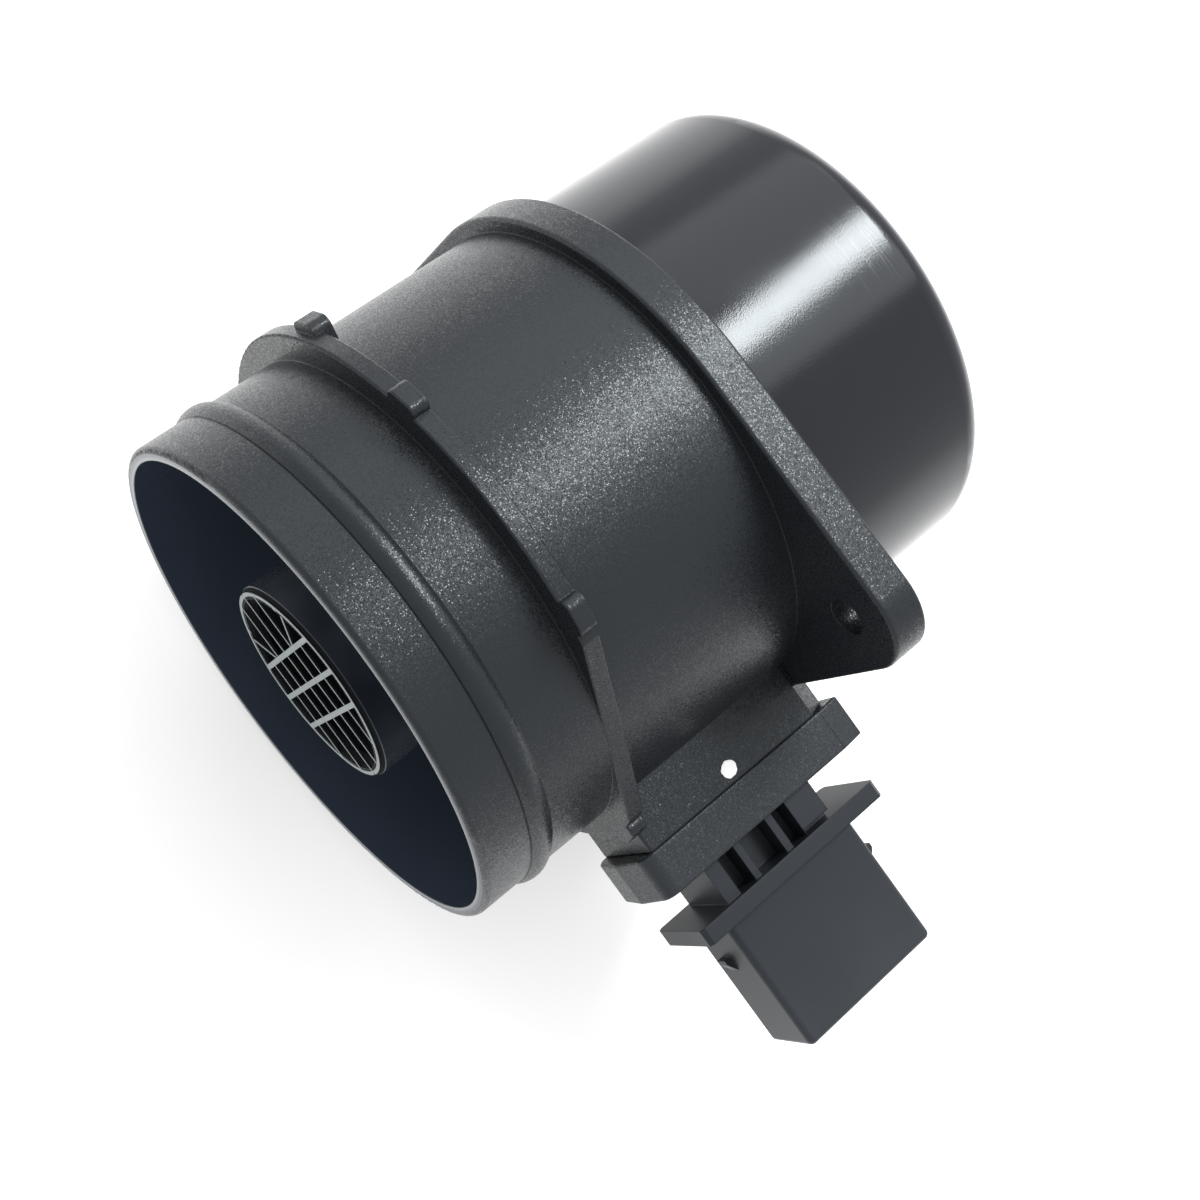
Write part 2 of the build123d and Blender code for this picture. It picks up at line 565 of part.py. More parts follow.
    # Finger: a flat blade that reaches across the axis, with its two pockets and cover ledges.
    with BuildSketch(module_level(-FINGER_TIP)):
        with Locations((finger_x, 0)):
            RectangleRounded(FINGER_LENGTH, FINGER_THICKNESS, FINGER_ROUND)
    extrude(amount=plug_inner + FINGER_TIP)
    with BuildSketch(finger_level(pocket_floor_z)):
        with Locations((finger_x, -(ELECTRONICS_START + electronics_end) / 2)):
            Rectangle(pocket_length, ELECTRONICS_LENGTH)
        with Locations((finger_x, -(channel_start + CHANNEL_END) / 2)):
            Rectangle(pocket_length, CHANNEL_END - channel_start)
        with Locations((finger_x, -channel_start - CHANNEL_DIVIDER_LENGTH / 2)):
            Rectangle(CHANNEL_DIVIDER, CHANNEL_DIVIDER_LENGTH, mode=Mode.SUBTRACT)
    extrude(amount=FINGER_THICKNESS, mode=Mode.SUBTRACT)
    with BuildSketch(finger_level(cover_seat_z)):
        with Locations((finger_x, -(ELECTRONICS_START + electronics_end) / 2)):
            Rectangle(cover_length, ELECTRONICS_LENGTH + 2 * COVER_LEDGE)
        with Locations((finger_x, -(channel_start + CHANNEL_END) / 2)):
            Rectangle(cover_length, CHANNEL_END - channel_start + 2 * COVER_LEDGE)
    extrude(amount=FINGER_THICKNESS, mode=Mode.SUBTRACT)
    # Air ports of the channel: in at the inlet side, out at the outlet side.
    with BuildSketch(finger_level(pocket_floor_z)):
        port_x = FINGER_LENGTH / 2 - POCKET_WALL / 2
        for side_of_finger in (-1, 1):
            with Locations((finger_x + side_of_finger * port_x, -channel_start - CHANNEL_PORT_START / 2)):
                Rectangle(POCKET_WALL * 2, CHANNEL_PORT_LENGTH)
    extrude(amount=cover_seat_z - pocket_floor_z - COVER_LEDGE, mode=Mode.SUBTRACT)
    # Slit that lets the chip holder through the wall between the pockets.
    with BuildSketch(finger_level(pocket_floor_z)):
        with Locations((finger_x, -(CHANNEL_END + ELECTRONICS_START) / 2)):
            Rectangle(HOLDER_WIDTH + 2 * PART_CLEARANCE, ELECTRONICS_START - CHANNEL_END)
    extrude(amount=CARRIER_THICKNESS + HOLDER_THICKNESS + PART_CLEARANCE, mode=Mode.SUBTRACT)

    # Holes that the terminals, the thermistor's legs and the screws go through.
    terminal_slots = Plane(origin=(0, -electronics_end, terminal_z), x_dir=(1, 0, 0), z_dir=(0, -1, 0))
    with BuildSketch(terminal_slots):
        with Locations(*[(x, 0) for x in terminal_xs]):
            Rectangle(TERMINAL_SIZE, TERMINAL_SIZE)
    extrude(amount=socket_floor - electronics_end, mode=Mode.SUBTRACT)
    with BuildSketch(finger_level(-FINGER_THICKNESS / 2)):
        with Locations((finger_x, -THERMISTOR_REACH)), GridLocations(THERMISTOR_LEG_PITCH, 1, 2, 1):
            Circle(THERMISTOR_LEG_RADIUS)
    extrude(amount=THERMISTOR_LEG_ROOT, mode=Mode.SUBTRACT)
    with BuildSketch(module_level(SEAT_REACH)):
        with Locations((screw_middle, 0)), GridLocations(screw_spacing, 1, 2, 1):
            Circle(PILOT_RADIUS + SCREW_HOLE_CLEARANCE)
    extrude(amount=MODULE_FLANGE_THICKNESS, mode=Mode.SUBTRACT)
    with BuildSketch(module_level(screw_seat)):
        with Locations((screw_middle, 0)), GridLocations(screw_spacing, 1, 2, 1):
            Circle(SCREW_HEAD_RADIUS + SCREW_HOLE_CLEARANCE)
    extrude(amount=module_face - screw_seat, mode=Mode.SUBTRACT)

# ---- seal_ring: the rubber ring in the plug's groove -----------------------------------------
with BuildPart() as seal_ring:
    with BuildSketch(module_level(SEAT_REACH - SEAL_GROOVE_LIP - SEAL_WIDTH)):
        with Locations((well_x, 0)):
            RectangleRounded(WELL_LENGTH, WELL_WIDTH, WELL_ROUND)
            RectangleRounded(
                plug_length - 2 * SEAL_DEPTH,
                plug_width - 2 * SEAL_DEPTH,
                WELL_ROUND - SEAL_DEPTH,
                mode=Mode.SUBTRACT,
            )
    extrude(amount=SEAL_WIDTH)
    end_faces = seal_ring.faces().filter_by(Axis.Y)
    fillet([edge for face in end_faces for edge in face.outer_wire().edges()], SEAL_ROUND)

# ---- electronics_cover and channel_cover: lids in the finger's ledges ------------------------
with BuildPart() as electronics_cover:
    with BuildSketch(finger_level(cover_seat_z)):
        with Locations((finger_x, -(ELECTRONICS_START + electronics_end) / 2)):
            lid_width = ELECTRONICS_LENGTH + 2 * COVER_LEDGE - 2 * COVER_CLEARANCE
            Rectangle(cover_length - 2 * COVER_CLEARANCE, lid_width)
    extrude(amount=COVER_THICKNESS)

with BuildPart() as channel_cover:
    with BuildSketch(finger_level(cover_seat_z)):
        with Locations((finger_x, -(channel_start + CHANNEL_END) / 2)):
            lid_width = CHANNEL_END - channel_start + 2 * COVER_LEDGE - 2 * COVER_CLEARANCE
            Rectangle(cover_length - 2 * COVER_CLEARANCE, lid_width)
    extrude(amount=COVER_THICKNESS)

# ---- carrier_plate: the aluminium plate on the pocket's floor --------------------------------
carrier_length = pocket_length - 2 * PART_CLEARANCE
carrier_start = ELECTRONICS_START + PART_CLEARANCE
carrier_end = electronics_end - PART_CLEARANCE

with BuildPart() as carrier_plate:
    with BuildSketch(finger_level(pocket_floor_z)):
        with Locations((finger_x, -(carrier_start + carrier_end) / 2)):
            Rectangle(carrier_length, carrier_end - carrier_start)
    extrude(amount=CARRIER_THICKNESS)

# ---- circuit_board: the ceramic board on the carrier -----------------------------------------
board_start = carrier_start + BOARD_START
board_length = carrier_length - 2 * BOARD_INSET

with BuildPart() as circuit_board:
    with BuildSketch(finger_level(board_base_z)):
        with Locations((finger_x, -(board_start + carrier_end) / 2)):
            Rectangle(board_length, carrier_end - board_start)
    extrude(amount=BOARD_THICKNESS)

# ---- signal_chip and capacitors on the board --------------------------------------------------
with BuildPart() as signal_chip:
    with BuildSketch(finger_level(board_top_z)):
        with Locations((finger_x, -(board_start + SIGNAL_CHIP_START + SIGNAL_CHIP_SIZE / 2))):
            Rectangle(SIGNAL_CHIP_SIZE, SIGNAL_CHIP_SIZE)
    extrude(amount=SIGNAL_CHIP_HEIGHT)

with BuildPart() as capacitors:
    with BuildSketch(finger_level(board_top_z)):
        with Locations((finger_x, -(board_start + SIGNAL_CHIP_START + SIGNAL_CHIP_SIZE / 2))):
            with GridLocations(CAPACITOR_PITCH, 1, 2, 1):
                Rectangle(CAPACITOR_WIDTH, CAPACITOR_LENGTH)
    extrude(amount=CAPACITOR_HEIGHT)

# ---- chip_holder: the tongue that carries the hot-film chip into the channel ------------------
with BuildPart() as chip_holder:
    holder_end = board_start - PART_CLEARANCE
    with BuildSketch(finger_level(board_base_z)):
        with Locations((finger_x, -(HOLDER_TIP + holder_end) / 2)):
            Rectangle(HOLDER_WIDTH, holder_end - HOLDER_TIP)
    extrude(amount=HOLDER_THICKNESS)

# ---- sensor_chip: the hot-film element on the holder's tip ------------------------------------
with BuildPart() as sensor_chip:
    with BuildSketch(finger_level(board_base_z + HOLDER_THICKNESS)):
        with Locations((finger_x, -(HOLDER_TIP + CHIP_INSET + CHIP_LENGTH / 2))):
            Rectangle(CHIP_WIDTH, CHIP_LENGTH)
    extrude(amount=CHIP_THICKNESS)

# ---- thermistor and its legs, on the finger's under side --------------------------------------
with BuildPart() as thermistor:
    with Locations((finger_x, -THERMISTOR_REACH, -FINGER_THICKNESS / 2 - THERMISTOR_STANDOFF)):
        Sphere(THERMISTOR_RADIUS)

with BuildPart() as thermistor_legs:
    with BuildSketch(finger_level(THERMISTOR_LEG_ROOT - FINGER_THICKNESS / 2)):
        with Locations((finger_x, -THERMISTOR_REACH)), GridLocations(THERMISTOR_LEG_PITCH, 1, 2, 1):
            Circle(THERMISTOR_LEG_RADIUS)
    extrude(amount=-(THERMISTOR_LEG_ROOT + THERMISTOR_STANDOFF))
    add(thermistor.part, mode=Mode.SUBTRACT)

# ---- flange_screws: two self-tapping screws with a pin-in-socket drive -------------------------
with BuildPart() as flange_screws:
    with BuildSketch(module_level(SEAT_REACH - SCREW_DEPTH)):
        with Locations((screw_middle, 0)), GridLocations(screw_spacing, 1, 2, 1):
            Circle(PILOT_RADIUS)
    extrude(amount=SCREW_DEPTH + screw_seat - SEAT_REACH)
    with BuildSketch(module_level(screw_seat)):
        with Locations((screw_middle, 0)), GridLocations(screw_spacing, 1, 2, 1):
            Circle(SCREW_HEAD_RADIUS)
    extrude(amount=SCREW_HEAD_HEIGHT)
    head_rims = flange_screws.edges().filter_by(GeomType.CIRCLE).group_by(Axis.Y)[0]
    fillet(head_rims, SCREW_HEAD_ROUND)
    with BuildSketch(module_level(screw_seat + SCREW_HEAD_HEIGHT)):
        with Locations((screw_middle, 0)), GridLocations(screw_spacing, 1, 2, 1):
            RegularPolygon(SCREW_SOCKET_RADIUS, 6)
            Circle(SCREW_PIN_RADIUS, mode=Mode.SUBTRACT)
    extrude(amount=-SCREW_SOCKET_DEPTH, mode=Mode.SUBTRACT)


def make_terminal(x):
    """One square terminal, from the board to its pointed tip in the socket."""
    with BuildPart() as terminal:
        tail = electronics_end - TERMINAL_TAIL
        base = Plane(origin=(x, -tail, terminal_z), x_dir=(1, 0, 0), z_dir=(0, -1, 0))
        with BuildSketch(base):
            Rectangle(TERMINAL_SIZE, TERMINAL_SIZE)
        extrude(amount=socket_floor + TERMINAL_REACH - tail)
        tip_edges = terminal.faces().sort_by(Axis.Y)[0].edges()
        chamfer(tip_edges, TERMINAL_POINT)
    return terminal


pieces = {
    "tube_housing": tube_housing,
    "measuring_tube": measuring_tube,
    "outlet_grid": outlet_grid,
    "inlet_grid": inlet_grid,
    "sensor_body": sensor_body,
    "seal_ring": seal_ring,
    "electronics_cover": electronics_cover,
    "channel_cover": channel_cover,
    "carrier_plate": carrier_plate,
    "circuit_board": circuit_board,
    "signal_chip": signal_chip,
    "capacitors": capacitors,
    "chip_holder": chip_holder,
    "sensor_chip": sensor_chip,
    "thermistor": thermistor,
    "thermistor_legs": thermistor_legs,
    "flange_screws": flange_screws,
}
for number, terminal_x in enumerate(terminal_xs, start=1):
    pieces[f"terminal_{number}"] = make_terminal(terminal_x)

os.makedirs("parts", exist_ok=True)
for name, piece in pieces.items():
    piece.part.label = name
    export_step(piece.part, f"parts/{name}.step")
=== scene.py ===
"""Mass airflow sensor: a moulded air tube with a plug-in sensor module, dressed for a studio picture."""
import math

import bpy
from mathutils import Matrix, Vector


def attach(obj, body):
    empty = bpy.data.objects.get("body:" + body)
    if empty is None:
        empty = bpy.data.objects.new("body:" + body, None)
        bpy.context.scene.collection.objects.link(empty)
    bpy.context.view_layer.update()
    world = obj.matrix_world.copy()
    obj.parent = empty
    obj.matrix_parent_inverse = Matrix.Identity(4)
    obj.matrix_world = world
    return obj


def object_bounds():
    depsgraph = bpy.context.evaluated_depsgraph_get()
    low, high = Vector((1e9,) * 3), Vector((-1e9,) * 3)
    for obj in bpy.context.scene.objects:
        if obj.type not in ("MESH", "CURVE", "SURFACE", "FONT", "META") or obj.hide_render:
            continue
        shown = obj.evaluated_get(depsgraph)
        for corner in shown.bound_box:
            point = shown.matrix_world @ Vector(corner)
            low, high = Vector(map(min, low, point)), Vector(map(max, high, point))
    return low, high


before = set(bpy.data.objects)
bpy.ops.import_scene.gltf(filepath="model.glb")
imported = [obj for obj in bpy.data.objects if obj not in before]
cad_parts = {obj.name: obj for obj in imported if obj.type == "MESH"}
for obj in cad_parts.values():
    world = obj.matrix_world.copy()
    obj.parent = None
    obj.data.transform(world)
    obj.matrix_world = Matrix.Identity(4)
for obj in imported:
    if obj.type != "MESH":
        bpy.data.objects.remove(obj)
cad_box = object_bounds()
bpy.ops.object.select_all(action="DESELECT")


# ---- Camera -----------------------------------------------------------------------------------
# A lens of 53 mm on a 36 mm sensor. It stands in front of the outlet and high above it, and looks
# down along the tube's flank, turned so that the part lies as it does on a table.
CAMERA_PLACE = (-0.12576, 0.00362, 0.25858)
CAMERA_TURN = (10.245, -20.111, -38.425)  # degrees about X, Y and Z
CAMERA_LENS = 53.216  # millimetres, as is the sensor's width
CAMERA_SENSOR = 36.0
CAMERA_NEAREST = 0.01

bpy.ops.object.camera_add(location=CAMERA_PLACE, rotation=[math.radians(turn) for turn in CAMERA_TURN])
camera = bpy.context.object
camera.data.sensor_width = CAMERA_SENSOR
camera.data.lens = CAMERA_LENS
camera.data.clip_start = CAMERA_NEAREST
bpy.context.scene.camera = camera


# ---- Floor and studio light -------------------------------------------------------------------
# A plain white floor just under the part, a window whose picture is the bright streak along the tube,
# a paler ceiling behind it, a soft wall on the far side and an even pale surround.
FLOOR_DROP = 0.0004
FLOOR_SIZE = 12.0
FLOOR_COLOUR = (0.75, 0.75, 0.75)
FLOOR_ROUGHNESS = 0.9
FLOOR_GLOSS = 0.1
FLOOR_GLOW = 0.32
WHITE = (1.0, 1.0, 1.0)
SURROUND_STRENGTH = 1.15
LIGHT_TARGET = Vector((0.01, 0.0, 0.04))
STUDIO_LIGHTS = (
    # name, direction, distance, size across the tube, size along it, power
    ("window_light", (0.547, 0.225, 0.806), 0.62, 0.13, 0.30, 4.2),
    ("ceiling_light", (0.547, 0.080, 0.820), 0.68, 0.38, 0.50, 1.5),
    ("wall_light", (0.42, 0.72, 0.52), 0.90, 0.80, 0.60, 2.2),
)

lowest = cad_box[0][2]
bpy.ops.mesh.primitive_plane_add(size=FLOOR_SIZE, location=(0, 0, lowest - FLOOR_DROP))
floor = bpy.context.object
floor.name = "floor"
floor_paint = bpy.data.materials.new("floor_paint")
floor_paint.use_nodes = True
floor_shader = floor_paint.node_tree.nodes["Principled BSDF"]
floor_shader.inputs["Base Color"].default_value = (*FLOOR_COLOUR, 1.0)
floor_shader.inputs["Roughness"].default_value = FLOOR_ROUGHNESS
floor_shader.inputs["Specular IOR Level"].default_value = FLOOR_GLOSS
floor_shader.inputs["Emission Color"].default_value = (*WHITE, 1.0)
floor_shader.inputs["Emission Strength"].default_value = FLOOR_GLOW
floor.data.materials.append(floor_paint)

for name, direction, distance, across, along, power in STUDIO_LIGHTS:
    direction = Vector(direction).normalized()
    bpy.ops.object.light_add(type="AREA", location=LIGHT_TARGET + direction * distance)
    light = bpy.context.object
    light.name = name
    light.rotation_euler = (-direction).to_track_quat("-Z", "Y").to_euler()
    light.data.shape = "RECTANGLE"
    light.data.size = across
    light.data.size_y = along
    light.data.energy = power

studio = bpy.data.worlds.new("studio")
studio.use_nodes = True
surround = studio.node_tree.nodes["Background"]
surround.inputs["Color"].default_value = (*WHITE, 1.0)
surround.inputs["Strength"].default_value = SURROUND_STRENGTH
bpy.context.scene.world = studio
bpy.context.scene.view_settings.view_transform = "Standard"
bpy.ops.object.select_all(action="DESELECT")


# ---- tube_housing -----------------------------------------------------------------------------
# The air tube is injection moulded in glass-filled black nylon. Its outside is spark-eroded to a fine
# sparkling grain, the inlet cylinder and the bore come from polished steel, and the rim's face is pale
# near the bore. The bore's colour is painted paler and bluer than the outside, with paler clouds, as
# painted reflection.
# The mould's halves meet in a plane along the tube, which leaves a hair-thin seam on all that stands out.
PLASTIC_GLOSS = 0.28
PLASTIC_GLINT = (0.90, 0.97, 1.0)
EDGE_SOFTNESS = 0.00030
POLISH_STARTS = (0.0001, 0.0004)  # X, from grain to polish behind the flange's seat
SPIGOT_SKIN = 0.0411  # a radius between bore and outside, in front of the seat
INLET_SKIN = 0.0398  # the same behind the seat
SKIN_BLEND = 0.0001
RAISED_STARTS = (0.0443, 0.0446)  # radius, from the bare tube to rib, boss and flange
GRAIN_SCALE = 3300.0  # pits per metre
GRAIN_DEPTH = 0.00005
GRAIN_SOFTNESS = 0.5
FACET_SCALE = 4700.0
FACET_EDGE = (0.60, 0.40)  # parts of a cell, from between the facets to inside one
FACET_TILT = 0.30
FACET_ROUGHNESS = 0.20
RELIEF_ON_TUBE = 0.35
RELIEF_ON_RAISED = 0.22
RELIEF_ON_POLISH = 0.20
HOUSING_GRAINED = (0.0092, 0.0106, 0.0128)
HOUSING_POLISHED = (0.0088, 0.0088, 0.0115)
# The bore's colours are painted reflection: paler and bluer than the outside plastic.
HOUSING_BORE = (0.020, 0.027, 0.041)
HOUSING_BORE_PAINTED_REFLECTION = (0.032, 0.041, 0.058)
GRAINED_ROUGHNESS = (0.37, 0.43)
POLISHED_ROUGHNESS = (0.08, 0.20)
BORE_ROUGHNESS = 0.22
RIM_COLOUR = (0.13, 0.145, 0.15)
RIM_PLANE = (-0.06765, -0.06775)  # X, from the wall to the rim's face
RIM_RADIUS = (0.0406, 0.0404)  # radius, from the plain part of the face to the pale one
SEAM_RISE = -0.0013
SEAM_HALF_WIDTH = 0.00007
SEAM_COLOUR = (0.0015, 0.0018, 0.0022)
SCRATCH_PLACE = (0.0292, 0.0045, 0.0404)
SCRATCH_REACH = 0.0075
SCRATCH_SCALES = (5200.0, 90.0, 90.0)  # hair-thin along X and long across it
SCRATCH_SHARE = (0.58, 0.66)
SCRATCH_COLOUR = (0.055, 0.057, 0.062)


def new_material(name, roughness):
    """A node material for one finish, with its shader and its node tree."""
    material = bpy.data.materials.new(name)
    material.use_nodes = True
    shader = material.node_tree.nodes["Principled BSDF"]
    shader.inputs["Roughness"].default_value = roughness
    shader.inputs["Specular IOR Level"].default_value = PLASTIC_GLOSS
    shader.inputs["Specular Tint"].default_value = (*PLASTIC_GLINT, 1.0)
    return material, shader, material.node_tree


def math_node(tree, operation, first, second=None):
    """A Math node whose inputs are sockets or numbers."""
    node = tree.nodes.new("ShaderNodeMath")
    node.operation = operation
    for socket, value in zip(node.inputs, (first, second)):
        if isinstance(value, bpy.types.NodeSocket):
            tree.links.new(value, socket)
        elif value is not None:
            socket.default_value = value
    return node.outputs["Value"]


def vector_node(tree, operation, first, second=None):
    """A Vector Math node; the first input is a socket, the second a socket or three numbers."""
    node = tree.nodes.new("ShaderNodeVectorMath")
    node.operation = operation
    tree.links.new(first, node.inputs[0])
    if isinstance(second, bpy.types.NodeSocket):
        tree.links.new(second, node.inputs[1])
    elif second is not None:
        node.inputs[1].default_value = second
    return node


def both(tree, first, second):
    """1 where both are 1."""
    return math_node(tree, "MULTIPLY", first, second)


def either(tree, first, second):
    """1 where one of them is 1."""
    return math_node(tree, "MAXIMUM", first, second)


def neither(tree, value):
    """1 where the value is 0."""
    return math_node(tree, "SUBTRACT", 1.0, value)


def step_node(tree, value, start, end):
    """0 before start and 1 after end, blended between them."""
    node = tree.nodes.new("ShaderNodeMapRange")
    tree.links.new(value, node.inputs["Value"])
    node.inputs["From Min"].default_value = start
    node.inputs["From Max"].default_value = end
    return node.outputs["Result"]


def band_node(tree, value, middle, half_width):
    """1 within half_width of the middle, and 0 from twice that."""
    off = math_node(tree, "ABSOLUTE", math_node(tree, "SUBTRACT", value, middle))
    return step_node(tree, off, 2 * half_width, half_width)


def mix_colours(tree, factor, first, second):
    """A blend of two colours, each a socket or three numbers."""
    node = tree.nodes.new("ShaderNodeMix")
    node.data_type = "RGBA"
    tree.links.new(factor, node.inputs["Factor"])
    sockets = [socket for socket in node.inputs if socket.type == "RGBA"]
    for socket, value in zip(sockets, (first, second)):
        if isinstance(value, bpy.types.NodeSocket):
            tree.links.new(value, socket)
        else:
            socket.default_value = (*value, 1.0)
    return [socket for socket in node.outputs if socket.type == "RGBA"][0]


def mix_values(tree, factor, first, second):
    """A blend of two values, each a socket or a number."""
    node = tree.nodes.new("ShaderNodeMix")
    tree.links.new(factor, node.inputs["Factor"])
    for socket, value in zip((node.inputs["A"], node.inputs["B"]), (first, second)):
        if isinstance(value, bpy.types.NodeSocket):
            tree.links.new(value, socket)
        else:
            socket.default_value = value
    return node.outputs["Result"]


def object_axes(tree):
    """The Object coordinates, whole and as X, Y and Z."""
    place = tree.nodes.new("ShaderNodeTexCoord").outputs["Object"]
    split = tree.nodes.new("ShaderNodeSeparateXYZ")
    tree.links.new(place, split.inputs["Vector"])
    return place, split.outputs["X"], split.outputs["Y"], split.outputs["Z"]


def from_axis(tree, y, z):
    """The distance from the tube's axis."""
    return math_node(tree, "SQRT", math_node(tree, "ADD", both(tree, y, y), both(tree, z, z)))


def noise(tree, place, scale, detail=2.0, roughness=0.5):
    """Grey noise at this many cells per metre."""
    node = tree.nodes.new("ShaderNodeTexNoise")
    tree.links.new(place, node.inputs["Vector"])
    node.inputs["Scale"].default_value = scale
    node.inputs["Detail"].default_value = detail
    node.inputs["Roughness"].default_value = roughness
    return node.outputs["Fac"]


def near_point(tree, place, point, reach):
    """1 near the point, fading to 0 at this distance from it."""
    distance = vector_node(tree, "DISTANCE", place, point).outputs["Value"]
    return step_node(tree, distance, reach, 0.3 * reach)


def erosion(tree, place):
    """The pitted height of a spark-eroded mould surface."""
    pits = tree.nodes.new("ShaderNodeTexVoronoi")
    pits.feature = "SMOOTH_F1"
    pits.inputs["Scale"].default_value = GRAIN_SCALE
    pits.inputs["Smoothness"].default_value = GRAIN_SOFTNESS
    tree.links.new(place, pits.inputs["Vector"])
    fine = noise(tree, place, 1.6 * GRAIN_SCALE, 1.0, 0.6)
    return math_node(tree, "ADD", math_node(tree, "MULTIPLY", pits.outputs["Distance"], 0.5), fine)


def facets(tree, place):
    """Small round facets: 1 inside one and 0 between them, and the way that each one leans."""
    cells = tree.nodes.new("ShaderNodeTexVoronoi")
    cells.inputs["Scale"].default_value = FACET_SCALE
    tree.links.new(place, cells.inputs["Vector"])
    lean = vector_node(tree, "SUBTRACT", cells.outputs["Color"], (0.5, 0.5, 0.5)).outputs["Vector"]
    return step_node(tree, cells.outputs["Distance"], *FACET_EDGE), lean


def leaned(tree, normal, facet, lean):
    """The normal, turned inside each facet the way that the facet leans."""
    scaled = vector_node(tree, "SCALE", lean)
    tree.links.new(math_node(tree, "MULTIPLY", facet, FACET_TILT), scaled.inputs["Scale"])
    turned = vector_node(tree, "ADD", normal, scaled.outputs["Vector"])
    return vector_node(tree, "NORMALIZE", turned.outputs["Vector"]).outputs["Vector"]


def bump(tree, height, strength, depth, edge_radius):
    """A normal with this relief, over edges rounded by edge_radius."""
    rounded = tree.nodes.new("ShaderNodeBevel")
    rounded.samples = 4
    rounded.inputs["Radius"].default_value = edge_radius
    node = tree.nodes.new("ShaderNodeBump")
    node.inputs["Distance"].default_value = depth
    tree.links.new(height, node.inputs["Height"])
    tree.links.new(rounded.outputs["Normal"], node.inputs["Normal"])
    if isinstance(strength, bpy.types.NodeSocket):
        tree.links.new(strength, node.inputs["Strength"])
    else:
        node.inputs["Strength"].default_value = strength
    return node.outputs["Normal"]


def dress(node_name, material):
    """Gives a CAD node this material."""
    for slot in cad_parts[node_name].material_slots:
        slot.material = material


housing_plastic, shader, tree = new_material("housing_plastic", 0.3)
place, x, y, z = object_axes(tree)
radius = from_axis(tree, y, z)
past_seat = step_node(tree, x, *POLISH_STARTS)
past_skin = math_node(tree, "SUBTRACT", radius, mix_values(tree, past_seat, SPIGOT_SKIN, INLET_SKIN))
outside = step_node(tree, past_skin, -SKIN_BLEND, SKIN_BLEND)
polished = both(tree, past_seat, outside)
grained = both(tree, outside, neither(tree, past_seat))
raised = step_node(tree, radius, *RAISED_STARTS)
rim_face = both(tree, step_node(tree, x, *RIM_PLANE), step_node(tree, radius, *RIM_RADIUS))
seam = both(tree, band_node(tree, z, SEAM_RISE, SEAM_HALF_WIDTH), both(tree, grained, raised))
cloud = noise(tree, place, 45.0, 4.0)
smear = noise(tree, place, 160.0, 3.0)
grain = erosion(tree, place)
facet, lean = facets(tree, place)
facet = both(tree, facet, grained)
drawn_out = vector_node(tree, "MULTIPLY", place, SCRATCH_SCALES).outputs["Vector"]
scratch = step_node(tree, noise(tree, drawn_out, 1.0, 2.0), *SCRATCH_SHARE)
scratch = both(tree, both(tree, scratch, polished), near_point(tree, place, SCRATCH_PLACE, SCRATCH_REACH))

# The bore's colour with paler clouds: painted reflection.
bore_painted_reflection = mix_colours(tree, cloud, HOUSING_BORE, HOUSING_BORE_PAINTED_REFLECTION)
base = mix_colours(tree, outside, bore_painted_reflection, HOUSING_GRAINED)
base = mix_colours(tree, polished, base, HOUSING_POLISHED)
base = mix_colours(tree, scratch, base, SCRATCH_COLOUR)
base = mix_colours(tree, seam, base, SEAM_COLOUR)
base = mix_colours(tree, rim_face, base, RIM_COLOUR)
tree.links.new(base, shader.inputs["Base Color"])
rough = mix_values(tree, outside, BORE_ROUGHNESS, mix_values(tree, cloud, *GRAINED_ROUGHNESS))
rough = mix_values(tree, polished, rough, mix_values(tree, smear, *POLISHED_ROUGHNESS))
rough = mix_values(tree, facet, rough, FACET_ROUGHNESS)
tree.links.new(rough, shader.inputs["Roughness"])
relief = mix_values(tree, raised, RELIEF_ON_TUBE, RELIEF_ON_RAISED)
relief = mix_values(tree, grained, math_node(tree, "MULTIPLY", outside, RELIEF_ON_POLISH), relief)
relieved = bump(tree, grain, relief, GRAIN_DEPTH, EDGE_SOFTNESS)
tree.links.new(leaned(tree, relieved, facet, lean), shader.inputs["Normal"])
dress("tube_housing", housing_plastic)


# ---- sensor_body ------------------------------------------------------------------------------
# The module is one moulding, screwed to the boss. Its flange has the tube's grain, and its connector
# is smoother and satin, painted paler toward its open end as a painted reflection of the bright surround.
MODULE_GRAINED = (0.0150, 0.0170, 0.0200)
MODULE_SATIN = (0.0090, 0.0106, 0.0140)
# The connector's colour toward its open end: a painted reflection.
MODULE_PAINTED_SHEEN = (0.022, 0.024, 0.028)
PAINTED_SHEEN_STARTS = (-0.0700, -0.0925)  # Y, from the plain colour to the strongest painted reflection
PAINTED_SHEEN_CLOUDS = (0.5, 1.3)
FLANGE_FACE = -0.0578
FLANGE_MOULD_LINE = -0.0057  # X, where the flange's rear end meets another piece of the mould
MOULD_LINE_HALF_WIDTH = 0.00006
SATIN_ROUGHNESS = (0.36, 0.46)
RELIEF_ON_FLANGE = 0.3
RELIEF_ON_SATIN = 0.10

module_plastic, shader, tree = new_material("module_plastic", 0.35)
place, x, y, z = object_axes(tree)
connector = step_node(tree, y, FLANGE_FACE + 0.0002, FLANGE_FACE - 0.0002)
flange = neither(tree, connector)
cloud = noise(tree, place, 60.0, 4.0)
